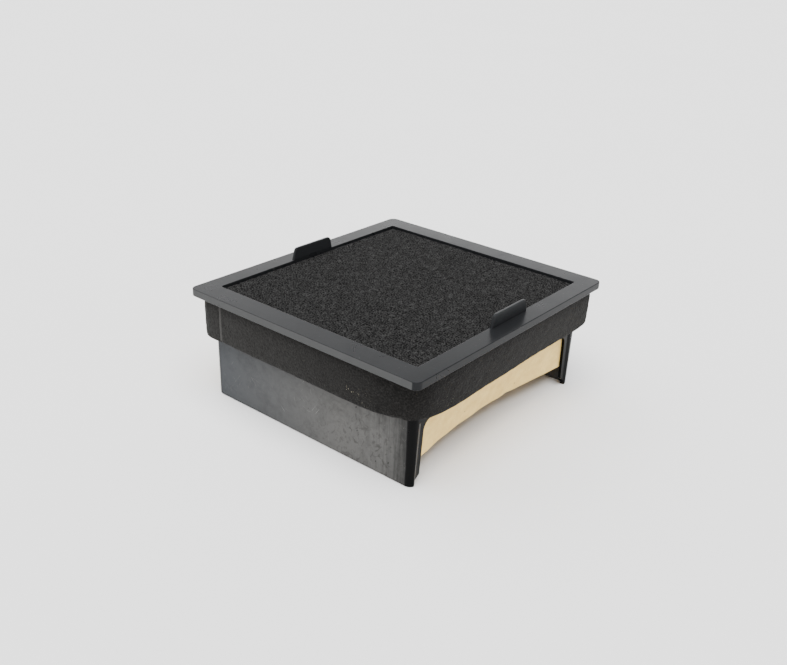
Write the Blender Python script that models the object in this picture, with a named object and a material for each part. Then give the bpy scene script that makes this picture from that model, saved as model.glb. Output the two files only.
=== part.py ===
"""Filter cassette of a bench-top solder fume extractor, in metres, +Z up.

The origin is under the middle of the cassette, on the level of its two side plates' lower edges.
X runs from one side plate to the other, and -Y is the front.  Air enters through the foam on top,
passes the carbon mat and the pleated paper, and leaves between the side plates.
"""
import math

import bmesh
import bpy

MM = 0.001
GAP = 0.3 * MM                       # clearance between touching pieces

# Top frame: a flat flange round a shallow tray that holds the pre-filter foam.
FLANGE_HALF = (75.0 * MM, 67.9 * MM)
FLANGE_THICK = 3.6 * MM
FLANGE_CORNER = 3.5 * MM
FLANGE_BEVEL = 0.4 * MM
TOP_Z = 56.5 * MM
UNDER_Z = TOP_Z - FLANGE_THICK
OPENING_HALF = (63.45 * MM, 58.65 * MM)
OPENING_CORNER = 0.8 * MM
TRAY_FLOOR_Z = 43.0 * MM             # upper face of the ledge round the tray
TRAY_BOTTOM_Z = 41.2 * MM
LEDGE_WIDTH = 2.6 * MM
SKIRT_HALF = (64.9 * MM, 59.75 * MM)
SKIRT_CORNER = 2.4 * MM

# Pull tabs, moulded on the flange at the front and rear edge of the opening.
TAB_FOOT_WIDTH = 28.0 * MM
TAB_CROWN_WIDTH = 26.2 * MM
TAB_THICK = 1.5 * MM
TAB_HEIGHT = 6.2 * MM
TAB_CORNER = 2.0 * MM
TAB_FRONT_X = 2.0 * MM
TAB_REAR_X = -1.2 * MM

# Body shell: a short duct whose end walls run on downwards as the two side plates.
SHELL_TOP_HALF = (67.3 * MM, 61.2 * MM)
SHELL_FOOT_HALF = (66.1 * MM, 61.2 * MM)
SHELL_CORNER = 3.6 * MM
SHELL_WALL = 2.0 * MM
SHELL_TOP_Z = UNDER_Z - GAP
SHELL_FOOT_BEVEL = 0.5 * MM
REBATE_Z = TRAY_BOTTOM_Z - GAP       # the tray's skirt stands on this step
REBATE_HALF = (65.2 * MM, 60.05 * MM)
WINDOW_TOP_Z = 30.2 * MM             # lower edge of the front and rear duct walls
WINDOW_TOP_X = (58.9 * MM, 57.6 * MM)        # its upright edges at the top, -X and +X
WINDOW_FOOT_X = (60.1 * MM, 58.4 * MM)       # and above the notches in the lips' feet
WINDOW_FILLET = 5.0 * MM
NOTCH_DEPTH = 3.0 * MM
NOTCH_Z = (2.6 * MM, 4.8 * MM)
LIP_ROUND = 0.8 * MM
STEP_DEPTH = 0.9 * MM                # each lip is thinner along the window, behind a chamfer
STEP_WIDTH = 2.7 * MM
STEP_CHAMFER = 1.7 * MM

# Snap lugs on the tray's skirt, and the slots they click into.
LUG_WIDTH = 11.0 * MM
LUG_LOW_Z, LUG_HIGH_Z = 44.5 * MM, 47.3 * MM
LUG_REACH = 1.4 * MM
LUG_Y = 30.0 * MM

# Pre-filter foam and the grid below it.
FOAM_TOP_Z = 55.6 * MM
FOAM_HALF = (63.1 * MM, 58.3 * MM)
FOAM_EDGE = 0.6 * MM
GRID_THICK = 1.7 * MM
GRID_BAR = 1.4 * MM
GRID_RIM = 3.2 * MM
GRID_CELLS = (9, 8)

# Carbon mat between two fleeces.
MEDIA_HALF = (64.0 * MM, 58.9 * MM)
MEDIA_CORNER = 1.6 * MM
FLEECE_THICK = 0.6 * MM
FLEECE_TOP_Z = 40.9 * MM
CARBON_BOTTOM_Z = 35.4 * MM

# Pleated paper pack, with its folds along X.
PACK_HALF_X = 60.4 * MM
PACK_TOP_Z = 33.0 * MM
PACK_BOTTOM_Z = 10.2 * MM
PACK_FACE_Y = 58.9 * MM
PAPER_THICK = 0.6 * MM
PLEATS = 12
FOLD_FLAT = 1.2 * MM
PACK_BOW = 5.3 * MM                  # how far the free lower fold sags inward at mid-length
BOW_REACH = 2.2                      # pleats over which that sag dies away
BOW_STEPS = 8

# Hot-melt adhesive.
POTTING_X = (PACK_HALF_X + GAP, 63.8 * MM)
POTTING_HALF_Y = 58.0 * MM
POTTING_FOOT_Z = 8.6 * MM
BEAD_WIDTH = 2.0 * MM
BEAD_HEIGHT = 0.9 * MM
BEAD_COUNT = 4
BEAD_PITCH = 30.0 * MM
EDGE_BEAD_WIDTH = 3.0 * MM
BEAD_HALF_Y = PACK_FACE_Y - EDGE_BEAD_WIDTH - GAP

# Foam seal band, one self-adhesive strip wrapped round the duct.
BAND_HALF = (72.8 * MM, 65.6 * MM)
BAND_INNER_HALF = (68.2 * MM, 62.1 * MM)
BAND_CORNERS = (8.0 * MM, 8.4 * MM, 14.0 * MM, 5.5 * MM)
BAND_INNER_CORNER = 4.5 * MM
BAND_BOTTOM_Z = 32.4 * MM
BAND_TOP_Z = UNDER_Z - GAP
BAND_JOINT_Y = 51.0 * MM             # butt joint of the strip, on the -X side
BAND_JOINT_GAP = 0.3 * MM
TAPE_HALF = (67.9 * MM, 61.8 * MM)
TAPE_THICK = 0.3 * MM
TAPE_CORNER = 4.2 * MM
TAPE_Z = (35.0 * MM, 51.6 * MM)

CORNER_STEPS = 4


def clear_scene():
    for obj in list(bpy.data.objects):
        bpy.data.objects.remove(obj, do_unlink=True)


def material(name, colour, roughness):
    mat = bpy.data.materials.new(name)
    mat.use_nodes = True
    shader = mat.node_tree.nodes["Principled BSDF"]
    shader.inputs["Base Color"].default_value = (*colour, 1.0)
    shader.inputs["Roughness"].default_value = roughness
    shader.inputs["Metallic"].default_value = 0.0
    return mat


def add_object(name, bm, mat=None):
    bmesh.ops.recalc_face_normals(bm, faces=bm.faces[:])
    mesh = bpy.data.meshes.new(name)
    bm.to_mesh(mesh)
    bm.free()
    obj = bpy.data.objects.new(name, mesh)
    bpy.context.collection.objects.link(obj)
    if mat:
        mesh.materials.append(mat)
        mesh.shade_smooth()
        mesh.set_sharp_from_angle(angle=math.radians(32))
    return obj


def add_cutter(name, bm):
    obj = add_object(name, bm)
    obj.hide_render = True
    obj.display_type = "WIRE"
    return obj


def combine(target, tool, operation):
    mod = target.modifiers.new(tool.name, "BOOLEAN")
    mod.object = tool
    mod.operation = operation
    mod.solver = "EXACT"


def arc(cx, cy, radius, start, end, steps=CORNER_STEPS):
    """Points of an arc, in degrees, both ends included."""
    points = []
    for i in range(steps + 1):
        angle = math.radians(start + (end - start) * i / steps)
        points.append((cx + radius * math.cos(angle), cy + radius * math.sin(angle)))
    return points


def outline(half, corners):
    """A rounded rectangle, counter-clockwise from the +X +Y corner; corners is one radius or four."""
    radii = corners if isinstance(corners, tuple) else (corners,) * 4
    signs = ((1, 1), (-1, 1), (-1, -1), (1, -1))
    points = []
    for i, (sx, sy) in enumerate(signs):
        r = radii[i]
        points += arc(sx * (half[0] - r), sy * (half[1] - r), r, 90 * i, 90 * i + 90)
    return points


def add_loop(bm, points, z):
    return [bm.verts.new((x, y, z)) for x, y in points]


def bridge(bm, lower, upper, closed=True):
    count = len(lower)
    for i in range(count if closed else count - 1):
        j = (i + 1) % count
        bm.faces.new((lower[i], lower[j], upper[j], upper[i]))


def ring_body(section):
    """A closed ring; section lists (half sizes, corner, z) round its cross-section."""
    bm = bmesh.new()
    loops = [add_loop(bm, outline(half, corner), z) for half, corner, z in section]
    for i, loop in enumerate(loops):
        bridge(bm, loop, loops[(i + 1) % len(loops)])
    return bm


def slab_body(section):
    """A solid slab through a stack of rounded outlines, lowest first."""
    bm = bmesh.new()
    loops = [add_loop(bm, outline(half, corner), z) for half, corner, z in section]
    for lower, upper in zip(loops, loops[1:]):
        bridge(bm, lower, upper)
    bm.faces.new(loops[0][::-1])
    bm.faces.new(loops[-1])
    return bm


def prism_body(points, axis, low, high):
    """A straight prism of the outline points, run along axis 0 (X) or 1 (Y)."""
    bm = bmesh.new()

    def place(point, along):
        u, v = point
        return (along, u, v) if axis == 0 else (u, along, v)

    near = [bm.verts.new(place(p, low)) for p in points]
    far = [bm.verts.new(place(p, high)) for p in points]
    bridge(bm, near, far)
    bm.faces.new(near[::-1])
    bm.faces.new(far)
    return bm


def grown(half, amount):
    return (half[0] + amount, half[1] + amount)


def build_top_frame(mat):
    bevel = FLANGE_BEVEL
    ledge = grown(OPENING_HALF, -LEDGE_WIDTH)
    frame = add_object("top_frame", ring_body([
        (grown(FLANGE_HALF, -bevel), FLANGE_CORNER - bevel, UNDER_Z),
        (FLANGE_HALF, FLANGE_CORNER, UNDER_Z + bevel),
        (FLANGE_HALF, FLANGE_CORNER, TOP_Z - bevel),
        (grown(FLANGE_HALF, -bevel), FLANGE_CORNER - bevel, TOP_Z),
        (OPENING_HALF, OPENING_CORNER, TOP_Z),
        (OPENING_HALF, OPENING_CORNER, TRAY_FLOOR_Z),
        (ledge, OPENING_CORNER, TRAY_FLOOR_Z),
        (ledge, OPENING_CORNER, TRAY_BOTTOM_Z),
        (SKIRT_HALF, SKIRT_CORNER, TRAY_BOTTOM_Z),
        (SKIRT_HALF, SKIRT_CORNER, UNDER_Z),
    ]), mat)
    for name, side, centre in (("front", -1, TAB_FRONT_X), ("rear", 1, TAB_REAR_X)):
        combine(frame, build_tab(name, side, centre), "UNION")
    for side in (-1, 1):
        for place in (-LUG_Y, LUG_Y):
            combine(frame, build_lug(side, place), "UNION")


def build_tab(name, side, centre):
    foot = TOP_Z - 1.0 * MM
    crown = TOP_Z + TAB_HEIGHT
    base, half = TAB_FOOT_WIDTH / 2, TAB_CROWN_WIDTH / 2
    points = [(centre - base, foot), (centre + base, foot)]
    points += arc(centre + half - TAB_CORNER, crown - TAB_CORNER, TAB_CORNER, 0, 90)
    points += arc(centre - half + TAB_CORNER, crown - TAB_CORNER, TAB_CORNER, 90, 180)
    inner = side * (OPENING_HALF[1] + 0.02 * MM)
    outer = inner + side * TAB_THICK
    return add_cutter("tool_tab_" + name, prism_body(points, 1, min(inner, outer), max(inner, outer)))


def build_lug(side, place):
    root = side * (SKIRT_HALF[0] - 0.5 * MM)
    tip = side * (SKIRT_HALF[0] + LUG_REACH)
    face = side * SKIRT_HALF[0]
    points = [(root, LUG_LOW_Z), (face, LUG_LOW_Z), (tip, LUG_HIGH_Z - 0.8 * MM),
              (tip, LUG_HIGH_Z), (root, LUG_HIGH_Z)]
    return add_cutter("tool_lug", prism_body(points, 1, place - LUG_WIDTH / 2, place + LUG_WIDTH / 2))


def window_profile():
    """Outline in X and Z of the opening between the two lips, open at the foot."""
    halves = []
    for top, foot in zip(WINDOW_TOP_X, WINDOW_FOOT_X):
        notch = foot + NOTCH_DEPTH
        points = [(notch + LIP_ROUND, -2.0 * MM)]
        points += arc(notch + LIP_ROUND, LIP_ROUND, LIP_ROUND, 270, 180, 3)
        points += [(notch, NOTCH_Z[0]), (foot, NOTCH_Z[1])]
        halves.append(points + arc(top - WINDOW_FILLET, WINDOW_TOP_Z - WINDOW_FILLET, WINDOW_FILLET, 0, 90))
    left, right = halves
    return right + [(-x, z) for x, z in reversed(left)]


def build_lip_step(side, face):
    """Cutter for the thinner strip of one lip; side is its end in X and face the front or rear."""
    top, foot = WINDOW_TOP_X[side > 0], WINDOW_FOOT_X[side > 0]
    straight = WINDOW_TOP_Z - WINDOW_FILLET
    slope = (top - foot) / (straight - NOTCH_Z[1])
    wall = SHELL_TOP_HALF[1]
    bm = bmesh.new()
    loops = []
    for z in (-2.0 * MM, WINDOW_TOP_Z + 0.6 * MM):
        edge = foot + slope * (z - NOTCH_Z[1])
        plan = [(edge - 6 * MM, wall - STEP_DEPTH), (edge + STEP_WIDTH, wall - STEP_DEPTH),
                (edge + STEP_WIDTH + STEP_CHAMFER, wall), (edge + STEP_WIDTH + STEP_CHAMFER, wall + MM),
                (edge - 6 * MM, wall + MM)]
        loops.append(add_loop(bm, [(side * x, face * y) for x, y in plan], z))
    bridge(bm, loops[0], loops[1])
    bm.faces.new(loops[0][::-1])
    bm.faces.new(loops[1])
    return add_cutter("tool_lip_step", bm)


def build_body_shell(mat):
    bevel = SHELL_FOOT_BEVEL
    foot_inner = grown(SHELL_FOOT_HALF, -SHELL_WALL)
    step_inner = (foot_inner[0] + 0.8 * MM, foot_inner[1])
    inner_corner = SHELL_CORNER - SHELL_WALL
    shell = add_object("body_shell", ring_body([
        (grown(SHELL_FOOT_HALF, -bevel), SHELL_CORNER - bevel, 0.0),
        (SHELL_FOOT_HALF, SHELL_CORNER, bevel),
        (SHELL_TOP_HALF, SHELL_CORNER, SHELL_TOP_Z),
        (REBATE_HALF, SHELL_CORNER - 1.2 * MM, SHELL_TOP_Z),
        (REBATE_HALF, SHELL_CORNER - 1.2 * MM, REBATE_Z),
        (step_inner, inner_corner, REBATE_Z),
        (foot_inner, inner_corner, 0.0),
    ]), mat)
    reach = SHELL_TOP_HALF[1] + 5.0 * MM
    combine(shell, add_cutter("tool_window", prism_body(window_profile(), 1, -reach, reach)), "DIFFERENCE")
    for side in (-1, 1):
        for face in (-1, 1):
            combine(shell, build_lip_step(side, face), "DIFFERENCE")
        for place in (-LUG_Y, LUG_Y):
            combine(shell, build_slot(side, place), "DIFFERENCE")


def build_slot(side, place):
    inner = side * (SKIRT_HALF[0] - 0.6 * MM)
    outer = side * (SHELL_TOP_HALF[0] + 1.0 * MM)
    low, high = LUG_LOW_Z - GAP, LUG_HIGH_Z + GAP
    half = LUG_WIDTH / 2 + GAP
    points = [(inner, low), (outer, low), (outer, high), (inner, high)]
    return add_cutter("tool_slot", prism_body(points, 1, place - half, place + half))


def build_prefilter_foam(mat):
    low = TRAY_FLOOR_Z + GRID_THICK + 2 * GAP
    edge = FOAM_EDGE
    soft = grown(FOAM_HALF, -edge)
    add_object("prefilter_foam", slab_body([
        (soft, edge, low), (FOAM_HALF, 2 * edge, low + edge),
        (FOAM_HALF, 2 * edge, FOAM_TOP_Z - edge), (soft, edge, FOAM_TOP_Z),
    ]), mat)


def bar_edges(half, cells):
    """Both edges of each bar across one direction, rims included."""
    inner = half - GRID_RIM
    pitch = 2 * inner / cells
    edges = [-half, -inner]
    for i in range(1, cells):
        edges += [-inner + i * pitch - GRID_BAR / 2, -inner + i * pitch + GRID_BAR / 2]
    return edges + [inner, half]


def build_prefilter_grid(mat):
    """A flat grille: the cells with two odd indices are open."""
    xs = bar_edges(FOAM_HALF[0], GRID_CELLS[0])
    ys = bar_edges(FOAM_HALF[1], GRID_CELLS[1])
    low = TRAY_FLOOR_Z + GAP
    bm = bmesh.new()
    floor = [[bm.verts.new((x, y, low)) for y in ys] for x in xs]
    roof = [[bm.verts.new((x, y, low + GRID_THICK)) for y in ys] for x in xs]

    def is_solid(i, j):
        inside = 0 <= i < len(xs) - 1 and 0 <= j < len(ys) - 1
        return inside and not (i % 2 and j % 2)

    for i in range(len(xs) - 1):
        for j in range(len(ys) - 1):
            if not is_solid(i, j):
                continue
            corners = ((i, j), (i + 1, j), (i + 1, j + 1), (i, j + 1))
            bm.faces.new([roof[a][b] for a, b in corners])
            bm.faces.new([floor[a][b] for a, b in reversed(corners)])
            for k, (di, dj) in enumerate(((0, -1), (1, 0), (0, 1), (-1, 0))):
                if not is_solid(i + di, j + dj):
                    (a, b), (c, d) = corners[k], corners[(k + 1) % 4]
                    bm.faces.new((floor[a][b], floor[c][d], roof[c][d], roof[a][b]))
    add_object("prefilter_grid", bm, mat)


def build_media(fleece_mat, carbon_mat):
    upper = FLEECE_TOP_Z - FLEECE_THICK
    lower = CARBON_BOTTOM_Z - GAP
    layers = (("fleece_upper", upper, FLEECE_TOP_Z, fleece_mat),
              ("carbon_mat", CARBON_BOTTOM_Z, upper - GAP, carbon_mat),
              ("fleece_lower", lower - FLEECE_THICK, lower, fleece_mat))
    for name, low, high, mat in layers:
        add_object(name, slab_body([(MEDIA_HALF, MEDIA_CORNER, low), (MEDIA_HALF, MEDIA_CORNER, high)]), mat)


def pleat_path():
    """Fold points (y, z, sag) from the front wall to the rear wall; each fold has a short flat."""
    face = PACK_FACE_Y - PAPER_THICK / 2
    pitch = 2 * face / PLEATS
    top = PACK_TOP_Z - PAPER_THICK / 2
    bottom = PACK_BOTTOM_Z + PAPER_THICK / 2
    flat = FOLD_FLAT / 2

    def sag(pleat):
        return math.exp(-pleat / BOW_REACH) - math.exp(-(PLEATS - pleat) / BOW_REACH)

    path = [(-face, top, 0.0), (-face, bottom, sag(0)), (-face + flat, bottom, sag(0))]
    for i in range(PLEATS):
        middle = -face + (i + 0.5) * pitch
        path += [(middle - flat, top, 0.0), (middle + flat, top, 0.0)]
        fold = middle + 0.5 * pitch
        if i < PLEATS - 1:
            path += [(fold - flat, bottom, sag(i + 1)), (fold + flat, bottom, sag(i + 1))]
    return path + [(face - flat, bottom, sag(PLEATS)), (face, bottom, sag(PLEATS)), (face, top, 0.0)]


def build_pleat_pack(mat):
    bm = bmesh.new()
    rows = []
    for i in range(BOW_STEPS + 1):
        along = 2 * i / BOW_STEPS - 1
        bow = PACK_BOW * (1 - along ** 2)
        rows.append([bm.verts.new((along * PACK_HALF_X, y + bow * sag, z)) for y, z, sag in pleat_path()])
    for lower, upper in zip(rows, rows[1:]):
        bridge(bm, lower, upper, closed=False)
    pack = add_object("pleat_pack", bm, mat)
    solid = pack.modifiers.new("paper", "SOLIDIFY")
    solid.thickness = PAPER_THICK
    solid.offset = 0.0
    solid.use_even_offset = True


def build_potting(mat):
    for name, side in (("left", -1), ("right", 1)):
        near, far = sorted((side * POTTING_X[0], side * POTTING_X[1]))
        half = POTTING_HALF_Y
        edge = 1.0 * MM
        points = [(-half, POTTING_FOOT_Z + edge), (-half + edge, POTTING_FOOT_Z),
                  (half - edge, POTTING_FOOT_Z), (half, POTTING_FOOT_Z + edge),
                  (half, PACK_TOP_Z), (-half, PACK_TOP_Z)]
        add_object("end_potting_" + name, prism_body(points, 0, near, far), mat)


def bead_profile(centre, width, low, round_side):
    """A low domed bead; round_side is 1 for a dome on top and -1 for one below."""
    high = low + BEAD_HEIGHT
    base, crown = (low, high) if round_side > 0 else (high, low)
    shoulder = base + round_side * 0.5 * BEAD_HEIGHT
    return [(centre - width / 2, base), (centre + width / 2, base), (centre + width / 2, shoulder),
            (centre + width / 4, crown), (centre - width / 4, crown), (centre - width / 2, shoulder)]


def build_beads(mat):
    upper_z = PACK_TOP_Z + GAP
    lower_z = PACK_BOTTOM_Z - GAP - BEAD_HEIGHT
    for i in range(BEAD_COUNT):
        x = (i - (BEAD_COUNT - 1) / 2) * BEAD_PITCH
        upper = bead_profile(x, BEAD_WIDTH, upper_z, 1)
        lower = bead_profile(x, BEAD_WIDTH, lower_z, -1)
        reach = BEAD_HALF_Y - PACK_BOW
        add_object(f"spacer_bead_upper_{i + 1}", prism_body(upper, 1, -BEAD_HALF_Y, BEAD_HALF_Y), mat)
        add_object(f"spacer_bead_lower_{i + 1}", prism_body(lower, 1, -reach, reach), mat)
    for name, side in (("front", -1), ("rear", 1)):
        centre = side * (PACK_FACE_Y - EDGE_BEAD_WIDTH / 2)
        points = bead_profile(centre, EDGE_BEAD_WIDTH, upper_z, 1)
        add_object("edge_bead_" + name, prism_body(points, 0, -PACK_HALF_X, PACK_HALF_X), mat)


def open_outline(half, corners, gap):
    """An outline that starts and ends on the -X side, at the strip's butt joint."""
    points = outline(half, corners)
    first = 2 * (CORNER_STEPS + 1)
    turned = points[first:] + points[:first]
    start = (-half[0], BAND_JOINT_Y - gap / 2)
    end = (-half[0], BAND_JOINT_Y + gap / 2)
    return [start] + turned + [end]


def strip_body(outer, inner, low, high):
    """A strip between two open outlines, closed at both ends."""
    bm = bmesh.new()
    loops = [add_loop(bm, outer, low), add_loop(bm, outer, high),
             add_loop(bm, inner, high), add_loop(bm, inner, low)]
    for i in range(4):
        bridge(bm, loops[i], loops[(i + 1) % 4], closed=False)
    bm.faces.new([loop[0] for loop in loops])
    bm.faces.new([loop[-1] for loop in reversed(loops)])
    return bm


def build_seal_band(foam_mat, tape_mat):
    gap = BAND_JOINT_GAP
    outer = open_outline(BAND_HALF, BAND_CORNERS, gap)
    inner = open_outline(BAND_INNER_HALF, BAND_INNER_CORNER, gap)
    add_object("seal_band", strip_body(outer, inner, BAND_BOTTOM_Z, BAND_TOP_Z), foam_mat)
    outer = open_outline(TAPE_HALF, TAPE_CORNER, gap)
    inner = open_outline(grown(TAPE_HALF, -TAPE_THICK), TAPE_CORNER - TAPE_THICK, gap)
    add_object("band_adhesive_tape", strip_body(outer, inner, *TAPE_Z), tape_mat)


def main():
    clear_scene()
    build_top_frame(material("frame_plastic", (0.050, 0.051, 0.054), 0.42))
    build_body_shell(material("shell_plastic", (0.030, 0.031, 0.034), 0.25))
    build_prefilter_foam(material("prefilter_foam", (0.035, 0.035, 0.036), 0.95))
    build_prefilter_grid(material("grid_plastic", (0.045, 0.045, 0.048), 0.45))
    build_media(material("fleece", (0.60, 0.60, 0.58), 0.95), material("carbon", (0.015, 0.015, 0.016), 0.9))
    build_pleat_pack(material("filter_paper", (0.64, 0.53, 0.34), 0.85))
    adhesive = material("hot_melt", (0.78, 0.70, 0.50), 0.35)
    build_potting(adhesive)
    build_beads(adhesive)
    build_seal_band(material("seal_foam", (0.018, 0.016, 0.016), 0.95),
                    material("adhesive_tape", (0.70, 0.68, 0.62), 0.5))


main()
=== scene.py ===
"""Looks of the fume extractor's filter cassette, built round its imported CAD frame."""
import math

import bmesh
import bpy
import numpy as np
from mathutils import Matrix, Vector


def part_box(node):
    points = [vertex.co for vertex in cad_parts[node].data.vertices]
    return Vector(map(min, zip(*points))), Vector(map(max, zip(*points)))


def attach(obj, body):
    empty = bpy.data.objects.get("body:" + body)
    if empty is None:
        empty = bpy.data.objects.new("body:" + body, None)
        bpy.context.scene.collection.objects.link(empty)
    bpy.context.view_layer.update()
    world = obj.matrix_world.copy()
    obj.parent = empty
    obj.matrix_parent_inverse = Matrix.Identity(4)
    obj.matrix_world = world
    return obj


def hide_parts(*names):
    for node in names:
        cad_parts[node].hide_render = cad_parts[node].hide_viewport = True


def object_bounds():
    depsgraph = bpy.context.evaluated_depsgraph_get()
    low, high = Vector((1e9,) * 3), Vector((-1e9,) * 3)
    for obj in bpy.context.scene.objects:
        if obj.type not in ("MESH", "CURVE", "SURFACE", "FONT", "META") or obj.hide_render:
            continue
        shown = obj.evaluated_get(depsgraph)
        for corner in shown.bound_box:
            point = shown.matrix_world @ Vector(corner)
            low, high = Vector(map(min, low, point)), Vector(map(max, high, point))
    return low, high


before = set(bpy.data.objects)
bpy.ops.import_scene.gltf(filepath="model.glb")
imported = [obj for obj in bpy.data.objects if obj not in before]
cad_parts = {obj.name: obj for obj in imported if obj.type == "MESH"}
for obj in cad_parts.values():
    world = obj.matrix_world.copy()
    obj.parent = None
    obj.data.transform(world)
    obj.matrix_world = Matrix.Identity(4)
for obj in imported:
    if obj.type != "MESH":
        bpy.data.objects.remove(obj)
cad_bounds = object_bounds()

MM = 0.001
TAU = 2 * math.pi
GAP = 0.3 * MM                       # clearance between touching pieces

# Camera, fitted to the object's straight edges; the lens is for the default 36 mm sensor.
CAMERA_PLACE = (-0.3259, -0.2528, 0.2261)
CAMERA_AZIMUTH = math.radians(-51.73)
CAMERA_ELEVATION = math.radians(25.39)
CAMERA_ROLL = math.radians(2.75)
CAMERA_LENS = 42.08

# Places read from the frame.
FRAME_LOW, FRAME_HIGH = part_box("top_frame")
SHELL_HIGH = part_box("body_shell")[1]
FOAM_LOW, FOAM_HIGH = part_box("prefilter_foam")
PACK_LOW, PACK_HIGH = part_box("pleat_pack")
BAND_LOW, BAND_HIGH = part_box("seal_band")

# Flange, tray and tabs.
TAB_HEIGHT = 6.2 * MM
FLANGE_TOP = FRAME_HIGH.z - TAB_HEIGHT
FLANGE_THICK = 3.6 * MM
FLANGE_CORNER = 3.5 * MM
OPENING_HALF = (63.45 * MM, 58.65 * MM)
TAB_FOOT_HALF = 14.0 * MM
TAB_CROWN_HALF = 13.1 * MM
TAB_THICK = 1.5 * MM
TAB_CORNER = 2.0 * MM
TAB_CENTRES = {-1: 2.0 * MM, 1: -1.2 * MM}
LUG_PLACES = (-30 * MM, 30 * MM)     # along each side, on the skirt and in the shell's slots

# Shell, window and lips.
SHELL_TAPER = 1.2 * MM
WALL = 2.0 * MM
SHELL_CORNER = 3.6 * MM
WINDOW_TOP = 30.2 * MM
WINDOW_TOP_X = {-1: 58.9 * MM, 1: 57.6 * MM}
WINDOW_FOOT_X = {-1: 60.1 * MM, 1: 58.4 * MM}
WINDOW_FILLET = 5.0 * MM
NOTCH_DEPTH = 3.0 * MM
NOTCH_Z = (2.6 * MM, 4.8 * MM)
LIP_ROUND = 0.8 * MM
STEP_DEPTH = 0.6 * MM
STEP_WIDTH = 2.5 * MM
STEP_CHAMFER = 1.9 * MM


# ---------------- meshes

def link_object(name, data):
    obj = bpy.data.objects.new(name, data)
    bpy.context.collection.objects.link(obj)
    return obj


def shade(mesh, sharp=None):
    mesh.shade_smooth()
    if sharp:
        mesh.set_sharp_from_angle(angle=math.radians(sharp))


def new_object(name, mesh, mat=None, sharp=None):
    obj = link_object(name, mesh)
    if mat:
        mesh.materials.append(mat)
    shade(mesh, sharp)
    return obj


def from_faces(name, points, faces, mat=None, sharp=None):
    mesh = bpy.data.meshes.new(name)
    mesh.from_pydata([tuple(p) for p in points], [], faces)
    bm = bmesh.new()
    bm.from_mesh(mesh)
    bmesh.ops.recalc_face_normals(bm, faces=bm.faces[:])
    bm.to_mesh(mesh)
    bm.free()
    return new_object(name, mesh, mat, sharp)


def apply_modifiers(obj):
    graph = bpy.context.evaluated_depsgraph_get()
    mesh = bpy.data.meshes.new_from_object(obj.evaluated_get(graph))
    obj.modifiers.clear()
    obj.data = mesh


def modify(obj, kind, **settings):
    """Adds one modifier and applies it."""
    mod = obj.modifiers.new(kind.lower(), kind)
    for name, value in settings.items():
        setattr(mod, name, value)
    apply_modifiers(obj)


def arc(cx, cy, radius, start, end, steps):
    angles = np.radians(np.linspace(start, end, steps + 1))
    return [(cx + radius * math.cos(a), cy + radius * math.sin(a)) for a in angles]


def outline(half, radii, steps):
    """A rounded rectangle, counter-clockwise from the +X +Y corner."""
    radii = radii if isinstance(radii, tuple) else (radii,) * 4
    points = []
    for i, (sx, sy) in enumerate(((1, 1), (-1, 1), (-1, -1), (1, -1))):
        r = radii[i]
        points += arc(sx * (half[0] - r), sy * (half[1] - r), r, 90 * i, 90 * i + 90, steps)
    return points


def grown(half, amount):
    return (half[0] + amount, half[1] + amount)


def quads_between(rows, count, closed=False):
    """Quads between successive loops of count points, and from the last to the first if closed."""
    faces = []
    for i in range(rows if closed else rows - 1):
        a, b = i * count, (i + 1) % rows * count
        faces += [(a + j, a + (j + 1) % count, b + (j + 1) % count, b + j) for j in range(count)]
    return faces


def sheet_quads(number):
    """Quads of a grid of numbered points."""
    return np.stack([number[:-1, :-1], number[1:, :-1], number[1:, 1:], number[:-1, 1:]], -1)


def sheet_rim(number):
    """The numbers round the border of a grid of points, in order."""
    return np.array([*number[:, 0], *number[-1, 1:], *number[-2::-1, -1], *number[0, -2:0:-1]])


def ring_object(name, section, mat, steps):
    """A closed ring through equal loops (half, corner radius, z), given round its cross-section."""
    points = [(x, y, z) for half, r, z in section for x, y in outline(half, r, steps)]
    count = len(points) // len(section)
    return from_faces(name, points, quads_between(len(section), count, closed=True), mat, 30)


def tool_between(name, points):
    """A solid between two equal outlines, given one after the other, for use in a boolean."""
    n = len(points) // 2
    faces = [(i, (i + 1) % n, n + (i + 1) % n, n + i) for i in range(n)]
    faces += [tuple(range(n - 1, -1, -1)), tuple(range(n, 2 * n))]
    return from_faces(name, points, faces)


def prism(name, profile, axis, low, high):
    """A tool with the profile run along X (axis 0) or Y (axis 1)."""
    place = (lambda u, v, w: (w, u, v)) if axis == 0 else (lambda u, v, w: (u, w, v))
    return tool_between(name, [place(u, v, w) for w in (low, high) for u, v in profile])


def combine(target, tools, operation):
    for tool in tools:
        mod = target.modifiers.new(tool.name, "BOOLEAN")
        mod.object = tool
        mod.operation = operation
        mod.solver = "EXACT"
    apply_modifiers(target)
    for tool in tools:
        bpy.data.objects.remove(tool, do_unlink=True)


def soften_edges(obj, width, segments=2, angle=35, sharp=40):
    modify(obj, "BEVEL", width=width, segments=segments, limit_method="ANGLE",
           angle_limit=math.radians(angle), use_clamp_overlap=True)
    even_normals(obj, sharp)


def even_normals(obj, sharp):
    """Smooth shading that keeps the flats flat right up to their rounded edges."""
    shade(obj.data, sharp)
    modify(obj, "WEIGHTED_NORMAL", weight=100, keep_sharp=True)


def bell(value, centre, width):
    """1 at the centre, fading out over about one width."""
    return np.exp(-((value - centre) / width) ** 2)


def smooth_step(value, low, high):
    t = np.clip((value - low) / (high - low), 0, 1)
    return t * t * (3 - 2 * t)


def waves(u, v, length, seed, count=14):
    """A smooth random relief between about -1 and 1, with waves about one length long."""
    draw = np.random.default_rng(seed)
    total = np.zeros(np.broadcast(u, v).shape)
    for _ in range(count):
        angle, phase = draw.uniform(0, TAU, 2)
        k = TAU / length * draw.uniform(0.5, 1.5)
        total += np.sin(k * (u * math.cos(angle) + v * math.sin(angle)) + phase)
    return total / math.sqrt(count)


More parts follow.
